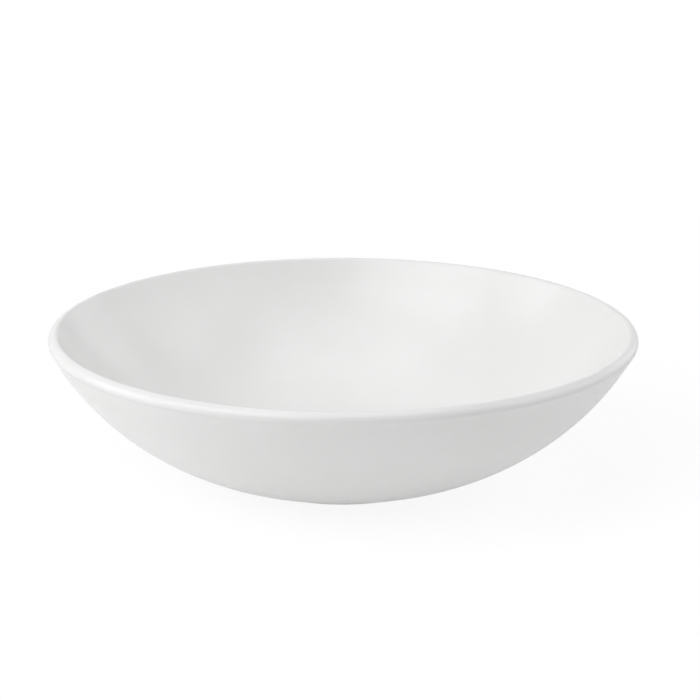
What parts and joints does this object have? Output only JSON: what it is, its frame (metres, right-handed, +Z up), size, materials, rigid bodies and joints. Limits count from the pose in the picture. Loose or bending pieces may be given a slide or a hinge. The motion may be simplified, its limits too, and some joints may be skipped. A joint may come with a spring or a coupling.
{
  "type": "salad bowl",
  "caption": "Wide shallow round salad bowl in white satin-glazed stoneware, with a softly rounded lip, a curved wall and a low bare foot ring to stand on.",
  "frame": {"origin": "centre of the bowl on the surface that it stands on", "axes": "+Z up along the bowl's axis; the bowl is round, so X and Y are any two level directions"},
  "size_m": [0.24, 0.24, 0.061],
  "materials": {
    "bare_stoneware": "bare fired stoneware, matte, fine grit",
    "white_glaze": "white satin glaze"
  },
  "bodies": {
    "root": {"stoneware_body": "bare_stoneware", "glaze_coat": "white_glaze", "base_glaze": "white_glaze"}
  },
  "joints": []
}
